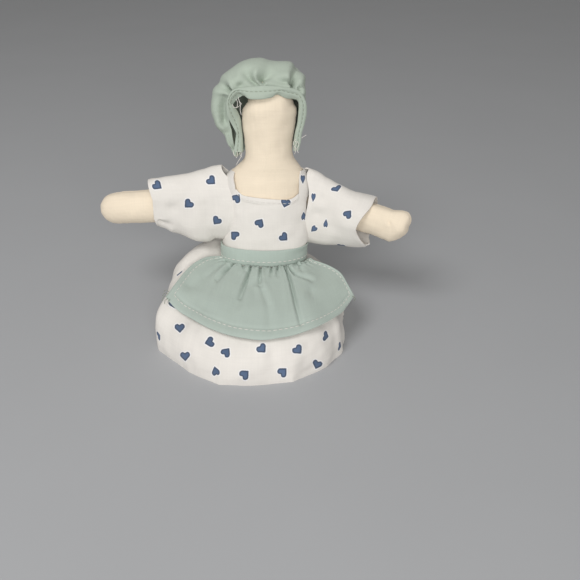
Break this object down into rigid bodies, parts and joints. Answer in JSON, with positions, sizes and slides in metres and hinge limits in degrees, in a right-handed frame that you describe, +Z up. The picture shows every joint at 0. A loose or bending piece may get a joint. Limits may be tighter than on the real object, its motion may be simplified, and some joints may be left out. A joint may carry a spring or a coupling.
{
  "type": "rag doll",
  "caption": "Small stuffed muslin rag doll without a face, seated, in a print dress with wide sleeves, a gathered apron and a removable gathered cap; its limbs and head move.",
  "frame": {"origin": "middle of the flat place under the torso that the doll sits on", "axes": "+Z up, the doll faces -Y, and its own left side is at +X"},
  "size_m": [0.1455, 0.1054, 0.1135],
  "materials": {
    "muslin": "unbleached plain weave, matte",
    "stuffing": "loose white fibre",
    "print_cotton": "white cotton with small blue hearts, matte",
    "apron_cotton": "pale sage cotton, matte",
    "cap_cotton": "sage cotton, matte"
  },
  "bodies": {
    "torso": {"torso_front": "muslin", "torso_back": "muslin", "torso_stuffing": "stuffing", "bodice_front": "print_cotton", "bodice_back": "print_cotton", "neckline_facing": "print_cotton", "apron_waistband": "apron_cotton", "skirt_front": "print_cotton", "skirt_back": "print_cotton"},
    "head": {"head_front": "muslin", "head_back": "muslin", "head_stuffing": "stuffing"},
    "cap": {"cap_crown": "cap_cotton", "cap_band": "cap_cotton"},
    "right_arm": {"right_arm_front": "muslin", "right_arm_back": "muslin", "right_arm_stuffing": "stuffing", "right_sleeve": "print_cotton"},
    "left_arm": {"left_arm_front": "muslin", "left_arm_back": "muslin", "left_arm_stuffing": "stuffing", "left_sleeve": "print_cotton"},
    "right_leg": {"right_leg_front": "muslin", "right_leg_back": "muslin", "right_leg_stuffing": "stuffing"},
    "left_leg": {"left_leg_front": "muslin", "left_leg_back": "muslin", "left_leg_stuffing": "stuffing"},
    "apron": {"apron_skirt": "apron_cotton"}
  },
  "joints": [
    {"name": "head_nod", "type": "hinge", "parent": "torso", "child": "head", "pos_m": [0.0015, 0.00826, 0.0645], "axis": [1, 0, 0], "range_deg": [-15, 20]},
    {"name": "cap_lift", "type": "slide", "parent": "head", "child": "cap", "axis": [0, 0.64, 0.7684], "range_m": [0, 0.045]},
    {"name": "right_arm_raise", "type": "hinge", "parent": "torso", "child": "right_arm", "pos_m": [-0.0243, 0.006, 0.0517], "axis": [0, 0.9848, -0.1736], "range_deg": [-35, 60], "deforming": ["right_sleeve"]},
    {"name": "left_arm_raise", "type": "hinge", "parent": "torso", "child": "left_arm", "pos_m": [0.0243, 0.006, 0.0517], "axis": [-0.342, -0.9254, 0.1632], "range_deg": [-30, 60], "deforming": ["left_sleeve"]},
    {"name": "right_leg_swing", "type": "hinge", "parent": "torso", "child": "right_leg", "pos_m": [-0.0087, -0.0184, 0.0073], "axis": [1, 0, 0], "range_deg": [0, 90]},
    {"name": "left_leg_swing", "type": "hinge", "parent": "torso", "child": "left_leg", "pos_m": [0.0087, -0.0184, 0.0073], "axis": [1, 0, 0], "range_deg": [0, 90]},
    {"name": "apron_lift", "type": "hinge", "parent": "torso", "child": "apron", "pos_m": [0, -0.01155, 0.02585], "axis": [-1, 0, 0], "range_deg": [0, 40], "deforming": ["apron_skirt"]}
  ]
}
